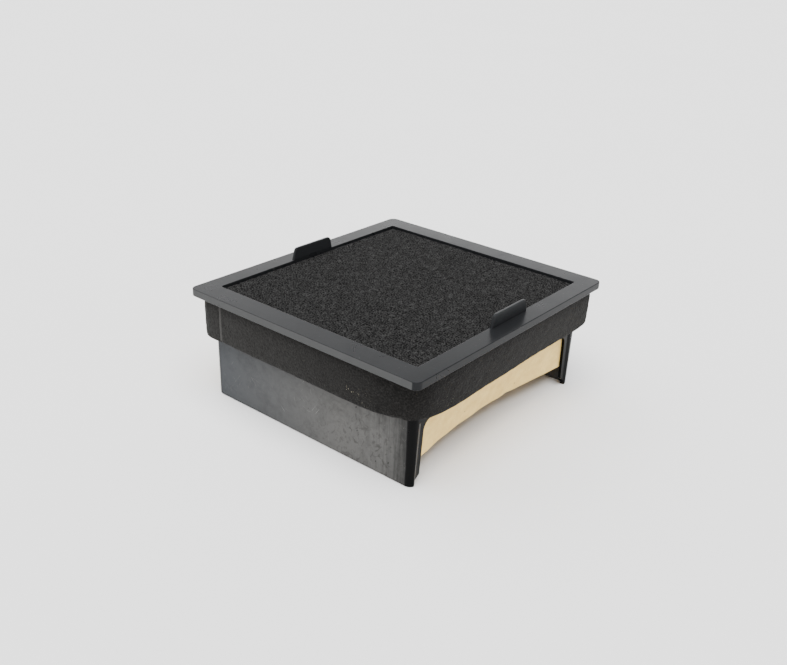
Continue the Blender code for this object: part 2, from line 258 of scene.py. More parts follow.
def cell_relief(u, v, cell_shade, seed):
    """0 on the struts between foam cells and up to 1 in the middle of a cell."""
    draw = np.random.default_rng(seed)
    iu = np.floor(u / cell_shade).astype(int)
    iv = np.floor(v / cell_shade).astype(int)
    iu0, iv0 = iu.min() - 2, iv.min() - 2
    shape = (iu.max() - iu0 + 3, iv.max() - iv0 + 3)
    jitter = draw.uniform(0.08, 0.92, (*shape, 2))
    nearest = np.full(u.shape, 9.0)
    second = np.full(u.shape, 9.0)
    for du in (-1, 0, 1):
        for dv in (-1, 0, 1):
            a, b = iu + du, iv + dv
            seedling = jitter[a - iu0, b - iv0]
            d = np.hypot(u / cell_shade - a - seedling[..., 0], v / cell_shade - b - seedling[..., 1])
            second = np.minimum(second, np.maximum(nearest, d))
            nearest = np.minimum(nearest, d)
    full_depth = 0.62                # difference of the two distances where a cell is deepest
    return np.clip((second - nearest) / full_depth, 0, 1)


# ---------------- materials

class Graph:
    """A Principled material and short ways to add nodes to it."""

    def __init__(self, name, **sockets):
        self.mat = bpy.data.materials.new(name)
        self.mat.use_nodes = True
        self.nodes = self.mat.node_tree.nodes
        self.links = self.mat.node_tree.links
        self.bsdf = self.nodes["Principled BSDF"]
        for socket, value in sockets.items():
            self.bsdf.inputs[socket.replace("_", " ")].default_value = value
        self.place = self.nodes.new("ShaderNodeTexCoord").outputs["Object"]

    def feed(self, socket, value):
        if isinstance(value, bpy.types.NodeSocket):
            self.links.new(value, socket)
        else:
            socket.default_value = value

    def set(self, socket, value):
        self.feed(self.bsdf.inputs[socket], value)

    def node(self, kind, **values):
        """A new node, with its inputs set or linked by name."""
        node = self.nodes.new("ShaderNode" + kind)
        for name, value in values.items():
            self.feed(node.inputs[name.replace("_", " ")], value)
        return node

    def stretched(self, scale, turn=(0, 0, 0)):
        """Texture space stretched along its own axes by scale, and turned by degrees."""
        node = self.node("Mapping", Vector=self.place, Scale=[1 / s for s in scale],
                         Rotation=[math.radians(a) for a in turn])
        node.vector_type = "TEXTURE"
        return node.outputs[0]

    def noise(self, size, detail=4, rough=0.55, where=None, distortion=0.0):
        """Clouds about size metres across."""
        return self.node("TexNoise", Vector=where or self.place, Scale=1 / size, Detail=detail,
                         Roughness=rough, Distortion=distortion).outputs[0]

    def cells(self, size, where=None):
        """Distance from the nearest of many scattered points about size metres apart."""
        return self.node("TexVoronoi", Vector=where or self.place, Scale=1 / size).outputs[0]

    def remap(self, value, low, high, to_low=0.0, to_high=1.0):
        return self.node("MapRange", Value=value, From_Min=low, From_Max=high,
                         To_Min=to_low, To_Max=to_high).outputs[0]

    def math(self, operation, a, b):
        node = self.nodes.new("ShaderNodeMath")
        node.operation = operation
        self.feed(node.inputs[0], a)
        self.feed(node.inputs[1], b)
        return node.outputs[0]

    def times(self, a, b):
        return self.math("MULTIPLY", a, b)

    def near(self, coordinate, centre, far, close):
        """1 within close of a centre along one axis, fading out to 0 at far."""
        off = self.math("ABSOLUTE", self.math("SUBTRACT", coordinate, centre), 0.0)
        return self.remap(off, far, close)

    def mix(self, amount, a, b):
        node = self.nodes.new("ShaderNodeMix")
        node.data_type = "RGBA"
        self.feed(node.inputs[0], amount)
        self.feed(node.inputs[6], a if isinstance(a, bpy.types.NodeSocket) else (*a, 1))
        self.feed(node.inputs[7], b if isinstance(b, bpy.types.NodeSocket) else (*b, 1))
        return node.outputs[2]

    def attribute(self, name):
        node = self.nodes.new("ShaderNodeAttribute")
        node.attribute_name = name
        return node.outputs["Fac"]

    def axis(self, name):
        """One coordinate of the point in the object's frame, in metres."""
        return self.node("SeparateXYZ", Vector=self.place).outputs[name]

    def bump(self, height, depth, strength, below=None):
        """A relief of the given depth in metres, laid over another one's normals."""
        node = self.node("Bump", Strength=strength, Distance=depth, Height=height)
        if below:
            self.links.new(below, node.inputs["Normal"])
        return node.outputs[0]


def scratches(g, size, turns, threshold, thin=0.09):
    """Thin hair lines in a few directions; 1 on a line."""
    total = None
    for turn in turns:
        where = g.stretched((1.0, thin, thin), turn)
        line = g.remap(g.noise(size, 2, 0.5, where), threshold, threshold + 0.04)
        total = line if total is None else g.math("MAXIMUM", total, line)
    return total


def moulded_plastic(name, base, roughness, grain, spread, scuff, gloss,
                    painted_light_ends_from=None, painted_lift_from=None):
    """Injection-moulded plastic: fine spark grain, handling smudges, hair scratches and dust.

    Faces at the ends along X, beyond the given distance from the middle, are painted lighter as
    painted light on those sides, and what stands above the given height is painted a little lighter as
    painted light that lifts it out of its shade.
    """
    g = Graph(name, Specular_IOR_Level=gloss)
    smudge = g.noise(17 * MM, 5, 0.6, distortion=0.6)
    fine = g.noise(0.55 * MM, 3, 0.6)
    hair = scratches(g, 1.1 * MM, ((0, 0, 20), (0, 0, 74), (20, 65, 131), (70, 10, 0)), 0.735)
    dust = g.remap(g.cells(3.1 * MM), 0.055, 0.035)
    body = g.mix(g.remap(smudge, 0.3, 0.75), [c * 0.92 for c in base], [c * 1.10 for c in base])
    body = g.mix(g.times(hair, scuff), body, [min(1, c * 2.6 + 0.02) for c in base])
    body = g.mix(g.times(dust, 0.35), body, (0.20, 0.19, 0.17))
    # painted light: the flange's end faces along X are painted lighter, as if lit from the side
    if painted_light_ends_from:
        painted_end_light = g.remap(g.math("ABSOLUTE", g.axis("X"), 0.0), painted_light_ends_from, painted_light_ends_from + 0.1 * MM)
        painted_end_light = g.times(painted_end_light, g.remap(smudge, 0.3, 0.75, 0.9, 1.05))
        body = g.mix(painted_end_light, body, (0.050, 0.051, 0.051))
    # painted light: what stands above this height, the pull tabs, is painted lighter to lift it out of
    # its shade
    if painted_lift_from:
        painted_tab_lift = g.remap(g.axis("Z"), painted_lift_from, painted_lift_from + 0.8 * MM)
        painted_tab_lift = g.times(painted_tab_lift, g.remap(smudge, 0.3, 0.75, 0.8, 1.0))
        body = g.mix(painted_tab_lift, body, (0.0165, 0.0173, 0.0188))
    g.set("Base Color", body)
    rough = g.remap(smudge, 0.25, 0.8, roughness - spread, roughness + spread)
    g.set("Roughness", g.math("ADD", rough, g.times(hair, 0.18)))
    relief = g.bump(fine, grain, 0.6)
    relief = g.bump(g.noise(9 * MM, 2), 0.10 * MM, 0.2, relief)
    g.set("Normal", g.bump(hair, 0.015 * MM, 0.4, relief))
    return g.mat


def gloss_plastic_wear_and_painted_reflection(name):
    """Black side plates, hazed where they rub in their guides and by painted reflection: scuffs,
    smears, fine streaks.

    The haze lies on the flat of each plate and fades out towards the rounded corners, which stay
    black and clean.  The haze is partly painted reflection: it is cold and thin at the rear and warmer
    and thicker at the front.
    """
    g = Graph(name, Specular_IOR_Level=0.06)
    along = g.axis("Y")
    height = g.axis("Z")
    flat = g.times(g.remap(along, -58.2 * MM, -57.4 * MM),
                   g.remap(along, 60.5 * MM, 57.0 * MM))
    flat = g.times(flat, g.remap(along, -57.0 * MM, -48.0 * MM, 0.48, 1.0))
    # painted reflection: the haze's tone brightens from the rear towards the front
    painted_light_front = g.remap(along, 55 * MM, -20 * MM)
    cloud = g.noise(13 * MM, 5, 0.62, distortion=0.8)
    fine_cloud = g.noise(3.2 * MM, 4, 0.6, distortion=0.5)
    streak = g.noise(1.5 * MM, 4, 0.65, g.stretched((1.0, 1.0, 0.055)))
    near_end = g.times(g.remap(along, -26 * MM, -46 * MM), g.remap(along, -60 * MM, -56 * MM))
    # the haze is partly rub wear and partly painted reflection, lighter on the flats than at the black
    # corners
    haze_and_reflection = g.times(flat, g.remap(cloud, 0.25, 0.75, 0.80, 1.12))
    haze_and_reflection = g.times(haze_and_reflection, g.remap(fine_cloud, 0.3, 0.7, 0.90, 1.09))
    haze_and_reflection = g.math("SUBTRACT", haze_and_reflection, g.times(near_end, g.remap(streak, 0.42, 0.62, 0.0, 0.24)))
    tone = g.mix(painted_light_front, (0.0480, 0.0510, 0.0550), (0.0905, 0.0890, 0.0857))
    body = g.mix(haze_and_reflection, (0.0012, 0.0013, 0.0014), tone)
    # dark smears, thickest low on the front half
    smear_zone = g.times(g.remap(along, 14 * MM, -34 * MM), g.remap(height, 36 * MM, 16 * MM))
    smear = g.remap(g.noise(3.6 * MM, 5, 0.66, g.stretched((1, 1, 0.8), (28, 0, 0)), 1.6), 0.53, 0.64)
    smear = g.times(g.times(smear, smear_zone), flat)
    body = g.mix(g.times(smear, 0.62), body, (0.022, 0.020, 0.018))
    hair = scratches(g, 0.45 * MM, ((0, 12, 90), (0, 48, 90), (0, -35, 90), (0, 80, 90)), 0.70, 0.045)
    hair = g.times(hair, g.remap(g.noise(12 * MM, 2), 0.46, 0.60))
    hair = g.times(hair, flat)
    body = g.mix(g.times(hair, 0.30), body, (0.22, 0.217, 0.210))
    nick = g.remap(g.cells(6.5 * MM, where=g.stretched((1, 1, 0.55), (35, 0, 0))), 0.070, 0.045)
    body = g.mix(g.times(g.times(nick, flat), 0.75), body, (0.012, 0.011, 0.010))
    dust = g.remap(g.cells(4.4 * MM), 0.036, 0.026)
    body = g.mix(g.times(dust, 0.35), body, (0.30, 0.29, 0.27))
    g.set("Base Color", body)
    rough = g.remap(cloud, 0.25, 0.8, 0.13, 0.22)
    rough = g.math("ADD", rough, g.times(hair, 0.2))
    rough = g.math("ADD", rough, g.times(smear, 0.14))
    g.set("Roughness", g.math("ADD", rough, g.times(nick, 0.3)))
    relief = g.bump(g.noise(11 * MM, 3), 0.10 * MM, 0.3)
    relief = g.bump(streak, 0.010 * MM, 0.3, relief)
    relief = g.bump(g.math("SUBTRACT", hair, nick), 0.02 * MM, 0.5, relief)
    g.set("Normal", relief)
    return g.mat


def open_cell_foam(name):
    """Charcoal reticulated foam: pale struts round cells painted dark as painted shade, darkest where
    deep.
    """
    g = Graph(name, Specular_IOR_Level=0.06, Roughness=0.95, Sheen_Weight=0.02, Sheen_Roughness=0.5)
    depth = g.attribute("relief")
    fine = g.noise(0.45 * MM, 3, 0.65)
    pores = g.cells(0.95 * MM)
    strut = g.mix(g.remap(fine, 0.3, 0.7), (0.0072, 0.0072, 0.0074), (0.0435, 0.0433, 0.0427))
    # painted shade: the cells are dark, and the deeper a cell the more of this colour it takes
    cell_shade = g.mix(g.remap(pores, 0.15, 0.6), (0.0004, 0.0004, 0.0004), (0.0018, 0.0018, 0.0018))
    patch = g.remap(g.noise(13 * MM, 3), 0.3, 0.7, 0.95, 1.04)
    colour = g.mix(g.remap(depth, 0.22, 0.56), strut, cell_shade)
    tint = g.nodes.new("ShaderNodeVectorMath")
    tint.operation = "SCALE"
    g.links.new(colour, tint.inputs[0])
    g.links.new(patch, tint.inputs["Scale"])
    lint = g.remap(g.cells(5.3 * MM), 0.045, 0.035)
    g.set("Base Color", g.mix(g.times(lint, 0.3), tint.outputs[0], (0.22, 0.21, 0.20)))
    g.set("Normal", g.bump(g.remap(pores, 0.0, 0.7), 0.35 * MM, 0.7, g.bump(fine, 0.15 * MM, 0.6)))
    return g.mat


def fine_foam(name):
    """Dense brown-black seal foam with fine pores, painted dark in the pores as painted shade; lighter
    further from its front left corner, where it is stretched, as dust and painted sheen, with a scatter
    of pale specks beside that corner and a painted highlight strip at its joint."""
    g = Graph(name, Specular_IOR_Level=0.06, Roughness=0.95, Sheen_Weight=0.04, Sheen_Roughness=0.5)
    place_x, place_y, place_z = g.axis("X"), g.axis("Y"), g.axis("Z")
    pores = g.cells(0.95 * MM)
    fine = g.noise(0.75 * MM, 3, 0.70)
    cloud = g.noise(14 * MM, 4, 0.6)
    base = g.mix(g.remap(cloud, 0.3, 0.7), (0.0044, 0.0041, 0.0039), (0.0068, 0.0063, 0.0060))
    base = g.mix(g.remap(fine, 0.46, 0.66), base, (0.0190, 0.0182, 0.0172))
    # dust and painted sheen: lighter further from the front left corner, which stays dark
    along_left = g.times(g.remap(place_y, -50 * MM, 40 * MM, 0.08, 0.85),
                         g.remap(place_x, -55 * MM, -66 * MM))
    along_front = g.times(g.remap(place_x, -55 * MM, 30 * MM, 0.10, 0.70),
                          g.remap(place_y, -50 * MM, -58 * MM))
    elsewhere = g.math("MAXIMUM", g.remap(place_y, 55 * MM, 62 * MM, 0.0, 0.5),
                       g.remap(place_x, 62 * MM, 68 * MM, 0.0, 0.5))
    dust_and_sheen = g.math("MAXIMUM", g.math("MAXIMUM", along_left, along_front), elsewhere)
    dust_and_sheen = g.times(dust_and_sheen, g.remap(g.noise(1.3 * MM, 4, 0.75), 0.32, 0.68, 0.25, 1.50))
    base = g.mix(dust_and_sheen, base, (0.0226, 0.0220, 0.0210))
    # painted shade: the pore centres are darkened
    base = g.mix(g.remap(pores, 0.30, 0.12, 0.0, 0.90), base, (0.004, 0.004, 0.004))
    # painted highlight: a lighter strip along the butt joint
    joint_highlight = g.times(g.near(place_y, 50 * MM, 1.1 * MM, 0.5 * MM),
                       g.remap(place_x, -70 * MM, -71 * MM))
    base = g.mix(g.times(joint_highlight, 0.45), base, (0.075, 0.073, 0.070))
    # specks gather beside the front left corner
    on_left = g.times(g.near(place_y, -33 * MM, 12 * MM, 3 * MM),
                      g.near(place_z, 36 * MM, 7 * MM, 3 * MM))
    on_left = g.times(on_left, g.remap(place_x, -50 * MM, -60 * MM))
    on_front = g.times(g.near(place_x, -50 * MM, 9 * MM, 3 * MM),
                       g.near(place_z, 38 * MM, 6 * MM, 2 * MM))
    on_front = g.times(on_front, g.remap(place_y, -55 * MM, -62 * MM, 0.0, 0.7))
    crowd = g.math("MAXIMUM", g.math("MAXIMUM", on_left, on_front), 0.12)
    speck_size = g.times(g.remap(g.noise(5 * MM, 2), 0.34, 0.54), crowd)
    speck = g.math("LESS_THAN", g.cells(0.85 * MM), g.times(speck_size, 0.24))
    base = g.mix(g.times(speck, 0.42), base, (0.50, 0.45, 0.33))
    g.set("Base Color", base)
    g.set("Normal", g.bump(g.remap(pores, 0.0, 0.6), 0.22 * MM, 0.75, g.bump(fine, 0.12 * MM, 0.6)))
    return g.mat


def filter_paper(name):
    """Tan resin-treated filter paper: long fibres, mottling and brown flecks."""
    g = Graph(name, Specular_IOR_Level=0.3, Roughness=0.82)
    mottle = g.noise(5.5 * MM, 5, 0.6)
    fibre_a = g.noise(0.9 * MM, 3, 0.6, g.stretched((0.22, 1, 1), (0, 18, 25)), 1.2)
    fibre_b = g.noise(0.9 * MM, 3, 0.6, g.stretched((0.22, 1, 1), (0, -41, -30)), 1.2)
    base = g.mix(g.remap(mottle, 0.28, 0.72), (0.77, 0.520, 0.168), (0.92, 0.672, 0.252))
    base = g.mix(g.remap(fibre_a, 0.55, 0.80, 0.0, 0.5), base, (0.92, 0.74, 0.38))
    base = g.mix(g.remap(fibre_b, 0.58, 0.80, 0.0, 0.4), base, (0.68, 0.445, 0.150))
    fleck = g.remap(g.cells(8.5 * MM), 0.060, 0.040)
    base = g.mix(g.times(fleck, 0.65), base, (0.30, 0.15, 0.06))
    g.set("Base Color", base)
    g.set("Roughness", g.remap(mottle, 0.3, 0.7, 0.76, 0.90))
    g.set("Normal", g.bump(fibre_a, 0.06 * MM, 0.5, g.bump(g.noise(0.3 * MM, 3), 0.03 * MM, 0.6)))
    return g.mat


def hot_melt(name):
    """Amber hot-melt adhesive, slightly clear, with a wavy gloss."""
    g = Graph(name, Specular_IOR_Level=0.5, Subsurface_Weight=0.25, Subsurface_Scale=0.002)
    g.bsdf.inputs["Subsurface Radius"].default_value = (1.0, 0.6, 0.25)
    cloud = g.noise(3.5 * MM, 4)
    g.set("Base Color", g.mix(g.remap(cloud, 0.3, 0.7), (0.66, 0.53, 0.30), (0.78, 0.67, 0.43)))
    g.set("Roughness", g.remap(cloud, 0.3, 0.7, 0.24, 0.42))
    g.set("Normal", g.bump(g.noise(1.8 * MM, 3), 0.12 * MM, 0.5))
    return g.mat


def fleece(name):
    """Thin pale non-woven: random fibres with greyer gaps between them."""
    g = Graph(name, Specular_IOR_Level=0.25, Roughness=0.93, Sheen_Weight=0.08)
    threads = g.noise(0.7 * MM, 4, 0.65, g.stretched((0.2, 1, 1), (0, 0, 33)), 2.0)
    cross = g.noise(0.7 * MM, 4, 0.65, g.stretched((0.2, 1, 1), (0, 0, -52)), 2.0)
    web = g.math("MAXIMUM", threads, cross)
    g.set("Base Color", g.mix(g.remap(web, 0.42, 0.70), (0.36, 0.36, 0.36), (0.70, 0.70, 0.68)))
    g.set("Normal", g.bump(web, 0.12 * MM, 0.8))
    return g.mat


def carbon_granules(name):
    """Black carbon granules bonded in a felt."""
    g = Graph(name, Specular_IOR_Level=0.45, Roughness=0.6)
    grain = g.cells(1.1 * MM)
    # painted shade: darker towards the gaps between the granules, lighter on their tops
    colour = g.mix(g.remap(grain, 0.2, 0.6), (0.022, 0.022, 0.023), (0.006, 0.006, 0.006))
    g.set("Base Color", colour)
    g.set("Roughness", g.remap(grain, 0.1, 0.6, 0.42, 0.85))
    g.set("Normal", g.bump(g.remap(grain, 0.6, 0.0), 0.4 * MM, 0.8))
    return g.mat


def backing_tape(name):
    g = Graph(name, Specular_IOR_Level=0.4)
    crinkle = g.noise(2.4 * MM, 4, 0.6)
    # painted shade: darker in the hollows of the crinkles
    g.set("Base Color", g.mix(crinkle, (0.58, 0.56, 0.50), (0.74, 0.72, 0.66)))
    g.set("Roughness", g.remap(crinkle, 0.3, 0.7, 0.4, 0.6))
    g.set("Normal", g.bump(crinkle, 0.05 * MM, 0.5))
    return g.mat


# the last two values start the painted light: on the flange's ends along X and on the pull tabs
FRAME_PLASTIC = moulded_plastic("frame_plastic", (0.0104, 0.0110, 0.0120), 0.30, 0.020 * MM, 0.05,
                                0.25, 0.08, FRAME_HIGH.x - 0.15 * MM, FLANGE_TOP + 0.2 * MM)
SHELL_PLASTIC = gloss_plastic_wear_and_painted_reflection("shell_plastic")
GRID_PLASTIC = moulded_plastic("grid_plastic", (0.035, 0.035, 0.037), 0.45, 0.025 * MM, 0.05,
                               0.15, 0.50)
PREFILTER_FOAM = open_cell_foam("prefilter_foam")
SEAL_FOAM = fine_foam("seal_foam")
PAPER = filter_paper("filter_paper")
ADHESIVE = hot_melt("hot_melt")
FLEECE = fleece("fleece")
CARBON = carbon_granules("carbon")
TAPE = backing_tape("adhesive_tape")


# ---------------- top frame

def rounded_section(corners):
    """Turns (half, corner radius, z, edge rounding) into loops; a rounding above 0 adds an arc there.

    The list runs round the cross-section; each edge is softened between its two neighbours.
    """
    loops = []
    count = len(corners)
    for i, (half, radius, z, soft) in enumerate(corners):
        if not soft:
            loops.append((half, radius, z))
            continue
        before, after = corners[i - 1], corners[(i + 1) % count]
        a = Vector((before[0][0] - half[0], before[2] - z)).normalized() * soft
        b = Vector((after[0][0] - half[0], after[2] - z)).normalized() * soft
        for t in np.linspace(0, 1, 9):
            # quadratic curve from the point on one side of the edge to the point on the other
            shift = a * (1 - t) ** 2 + b * t ** 2
            loops.append((grown(half, shift.x), max(radius + shift.x, 0.2 * MM), z + shift.y))
    return loops


def tab_tool(side):
    """A pull tab with round shoulders, softened crown and a small fillet where it meets the flange."""
    centre = TAB_CENTRES[side]
    crown = FRAME_HIGH.z
    foot = FLANGE_TOP - 0.8 * MM
    inner = OPENING_HALF[1] + 0.02 * MM
    soft = 0.35 * MM
    flare = 0.5 * MM
    # layers through the thickness: (distance from the opening, shrink of the outline)
    layers = [(0.0, soft), (0.3 * soft, 0.3 * soft), (soft, 0.0), (TAB_THICK - soft, 0.0),
              (TAB_THICK - 0.3 * soft, 0.3 * soft), (TAB_THICK, soft)]
    rows = []
    for depth, shrink in layers:
        base = TAB_FOOT_HALF - shrink
        half = TAB_CROWN_HALF - shrink
        top = crown - shrink
        r = TAB_CORNER - shrink * 0.5
        profile = [(centre - base - flare, foot), (centre + base + flare, foot)]
        profile += arc(centre + base + flare, FLANGE_TOP + flare, flare, 270, 180, 4)
        profile += arc(centre + half - r, top - r, r, 0, 90, 8)
        profile += arc(centre - half + r, top - r, r, 90, 180, 8)
        profile += arc(centre - base - flare, FLANGE_TOP + flare, flare, 0, -90, 4)
        rows.append([(x, side * (inner + depth), z) for x, z in profile])
    n = len(rows[0])
    points = [p for row in rows for p in row]
    faces = [tuple(range(n - 1, -1, -1)), tuple(range((len(rows) - 1) * n, len(rows) * n))]
    faces += quads_between(len(rows), n)
    return from_faces(f"tab_{side}", points, faces, FRAME_PLASTIC)


def lug_tool(side, place):
    """A snap lug on the tray's skirt, ramped below and square above."""
    skirt, tip = 64.4 * MM, FRAME_HIGH.x - 8.7 * MM
    low, high = 44.5 * MM, 47.3 * MM
    half = 5.5 * MM
    profile = [(side * skirt, low), (side * (skirt + 0.5 * MM), low), (side * tip, high - 0.8 * MM),
               (side * tip, high), (side * skirt, high)]
    return prism(f"lug_{side}_{place}", profile, 1, place - half, place + half)


def build_top_frame():
    half = (FRAME_HIGH.x, FRAME_HIGH.y)
    under = FLANGE_TOP - FLANGE_THICK
    floor = 43.0 * MM
    ledge = grown(OPENING_HALF, -2.6 * MM)
    skirt = (64.9 * MM, 59.75 * MM)
    bottom = FRAME_LOW.z
    section = rounded_section([
        (half, FLANGE_CORNER, under, 0.45 * MM),
        (half, FLANGE_CORNER, FLANGE_TOP, 0.40 * MM),
        (OPENING_HALF, 0.8 * MM, FLANGE_TOP, 0.30 * MM),
        (OPENING_HALF, 0.8 * MM, floor, 0),
        (ledge, 0.8 * MM, floor, 0.25 * MM),
        (ledge, 0.8 * MM, bottom, 0.25 * MM),
        (skirt, 2.4 * MM, bottom, 0.25 * MM),
        (skirt, 2.4 * MM, under, 0),
    ])
    piece = ring_object("top_frame_moulding", section, FRAME_PLASTIC, 10)
    tools = [tab_tool(side) for side in (-1, 1)]
    tools += [lug_tool(side, place) for side in (-1, 1) for place in LUG_PLACES]
    combine(piece, tools, "UNION")
    even_normals(piece, 35)
    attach(piece, "cassette")
    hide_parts("top_frame")


# ---------------- body shell

def window_profile():
    """The opening between the lips, with its notched feet and round upper corners."""
    halves = {}
    for side in (-1, 1):
        notch = WINDOW_FOOT_X[side] + NOTCH_DEPTH
        points = [(notch + LIP_ROUND, -3 * MM)]
        points += arc(notch + LIP_ROUND, LIP_ROUND, LIP_ROUND, 270, 180, 6)
        points += [(notch, NOTCH_Z[0]), (WINDOW_FOOT_X[side], NOTCH_Z[1])]
        fillet = (WINDOW_TOP_X[side] - WINDOW_FILLET, WINDOW_TOP - WINDOW_FILLET)
        halves[side] = points + arc(*fillet, WINDOW_FILLET, 0, 90, 12)
    return halves[1] + [(-x, z) for x, z in reversed(halves[-1])]


def lip_step_tool(side, face):
    """Thins one lip along the window, behind a shallow chamfer."""
    straight = WINDOW_TOP - WINDOW_FILLET
    slope = (WINDOW_TOP_X[side] - WINDOW_FOOT_X[side]) / (straight - NOTCH_Z[1])
    wall = SHELL_HIGH.y
    points = []
    for z in (-2 * MM, WINDOW_TOP + 0.6 * MM):
        edge = WINDOW_FOOT_X[side] + slope * (z - NOTCH_Z[1])
        plan = [(edge - 6 * MM, wall - STEP_DEPTH), (edge + STEP_WIDTH, wall - STEP_DEPTH),
                (edge + STEP_WIDTH + STEP_CHAMFER, wall), (edge + STEP_WIDTH + STEP_CHAMFER, wall + MM),
                (edge - 6 * MM, wall + MM)]
        points += [(side * x, face * y, z) for x, y in plan]
    return tool_between(f"lip_step_{side}_{face}", points)


def slot_tool(side, place):
    """The slot that a snap lug clicks into, a clearance wider than the lug all round."""
    near, far = side * 64.3 * MM, side * (SHELL_HIGH.x + 1 * MM)
    low, high, half = 44.2 * MM, 47.6 * MM, 5.8 * MM
    profile = [(near, low), (far, low), (far, high), (near, high)]
    return prism(f"slot_{side}_{place}", profile, 1, place - half, place + half)


def build_body_shell():
    top_half = (SHELL_HIGH.x, SHELL_HIGH.y)
    foot_half = (SHELL_HIGH.x - SHELL_TAPER, SHELL_HIGH.y)
    inner_half = grown(foot_half, -WALL)
    step_z = FRAME_LOW.z - GAP
    step_half = (inner_half[0] + 0.8 * MM, inner_half[1])
    rebate = (65.2 * MM, 60.05 * MM)
    section = rounded_section([
        (foot_half, SHELL_CORNER, 0.0, 0.5 * MM),
        (top_half, SHELL_CORNER, SHELL_HIGH.z, 0.3 * MM),
        (rebate, 2.8 * MM, SHELL_HIGH.z, 0.3 * MM),
        (rebate, 2.8 * MM, step_z, 0),
        (step_half, 2.0 * MM, step_z, 0.2 * MM),
        (inner_half, 2.0 * MM, 0.0, 0.5 * MM),
    ])
    piece = ring_object("body_shell_moulding", section, SHELL_PLASTIC, 12)
    reach = SHELL_HIGH.y + 5 * MM
    tools = [prism("window", window_profile(), 1, -reach, reach)]
    tools += [lip_step_tool(side, face) for side in (-1, 1) for face in (-1, 1)]
    tools += [slot_tool(side, place) for side in (-1, 1) for place in LUG_PLACES]
    combine(piece, tools, "DIFFERENCE")
    soften_edges(piece, 0.35 * MM, 6, sharp=16)
    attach(piece, "cassette")
    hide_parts("body_shell")


# ---------------- foams

def build_prefilter_foam():
    """The pad's cut face shows its cells; the sides and underside are cut too."""
    half = ((FOAM_HIGH.x - FOAM_LOW.x) / 2, (FOAM_HIGH.y - FOAM_LOW.y) / 2)
    cell_shade = 1.2 * MM
    nx, ny = 272, 251
    u = np.linspace(-half[0], half[0], nx + 1)
    v = np.linspace(-half[1], half[1], ny + 1)
    gu, gv = np.meshgrid(u, v, indexing="ij")
    relief = cell_relief(gu + 0.2 * MM * waves(gu, gv, 9 * MM, 3), gv, cell_shade, 11)
    top = FOAM_HIGH.z - 0.22 * MM + 0.14 * MM * waves(gu, gv, 38 * MM, 5)
    top = top - 0.55 * MM * np.clip((relief - 0.18) / 0.6, 0, 1) ** 1.2
    border = np.minimum(half[0] - abs(gu), half[1] - abs(gv))
    top = top - 0.25 * MM * np.clip(1 - border / (0.5 * MM), 0, 1) ** 2
    points = np.stack([gu, gv, top], -1).reshape(-1, 3)
    depth = relief.reshape(-1)
    number = np.arange((nx + 1) * (ny + 1)).reshape(nx + 1, ny + 1)
    faces = sheet_quads(number).reshape(-1, 4).tolist()
    rim = sheet_rim(number)
    rim_points = points[rim]
    along = np.cumsum(np.r_[0, np.hypot(*np.diff(rim_points[:, :2], axis=0).T)])
    # which way is inward from each point of the rim; a corner's points go both ways
    side_in = np.clip(-rim_points[:, :2] * 1e6, -1, 1)
    side_in *= abs(abs(rim_points[:, :2]) - half) < 1e-6
    previous = rim
    layers = 24
    drop = np.arange(1, layers + 1)[:, None] / layers
    levels = rim_points[:, 2] + (FOAM_LOW.z - rim_points[:, 2]) * drop
    side_pits = cell_relief(np.broadcast_to(along, levels.shape), levels, cell_shade, 19)
    for i, (z, pits) in enumerate(zip(levels, side_pits), 1):
        push = (0.10 + 0.40 * pits) * MM if i < layers else np.full(len(rim), 0.5 * MM)
        ring = np.column_stack([rim_points[:, :2] + side_in * push[:, None], z])
        first = len(points)
        points = np.vstack([points, ring])
        depth = np.r_[depth, pits if i < layers else pits * 0]
        current = np.arange(first, first + len(rim))
        nxt = np.roll(current, -1)
        faces += np.stack([np.roll(previous, -1), previous, current, nxt], -1).tolist()
        previous = current
    faces.append(previous[::-1].tolist())
    piece = from_faces("prefilter_foam_pad", points, faces, PREFILTER_FOAM)
    attribute = piece.data.attributes.new("relief", "FLOAT", "POINT")
    attribute.data.foreach_set("value", depth.astype(np.float32))
    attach(piece, "prefilter")
    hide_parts("prefilter_foam")


def band_path(step):
    """Stations along the strip, from its butt joint round to it again: place, outward normal."""
    corners = (8 * MM, 8.4 * MM, 14 * MM, 5.5 * MM)
    half = (BAND_HIGH.x, BAND_HIGH.y)
    joint_y, joint_gap = 51.0 * MM, 0.3 * MM
    steps = 24
    points = outline(half, corners, steps)
    first = 2 * (steps + 1)          # where the front left corner starts
    points = [(-half[0], joint_y - joint_gap / 2)] + points[first:] + points[:first]
    points.append((-half[0], joint_y + joint_gap / 2))
    points = np.array(points)
    length = np.r_[0, np.cumsum(np.hypot(*np.diff(points, axis=0).T))]
    s = np.linspace(0, length[-1], int(length[-1] / step))
    path = np.column_stack([np.interp(s, length, points[:, k]) for k in (0, 1)])
    tangent = np.gradient(path, axis=0)
    tangent /= np.hypot(*tangent.T)[:, None]
    return s, path, np.column_stack([tangent[:, 1], -tangent[:, 0]])


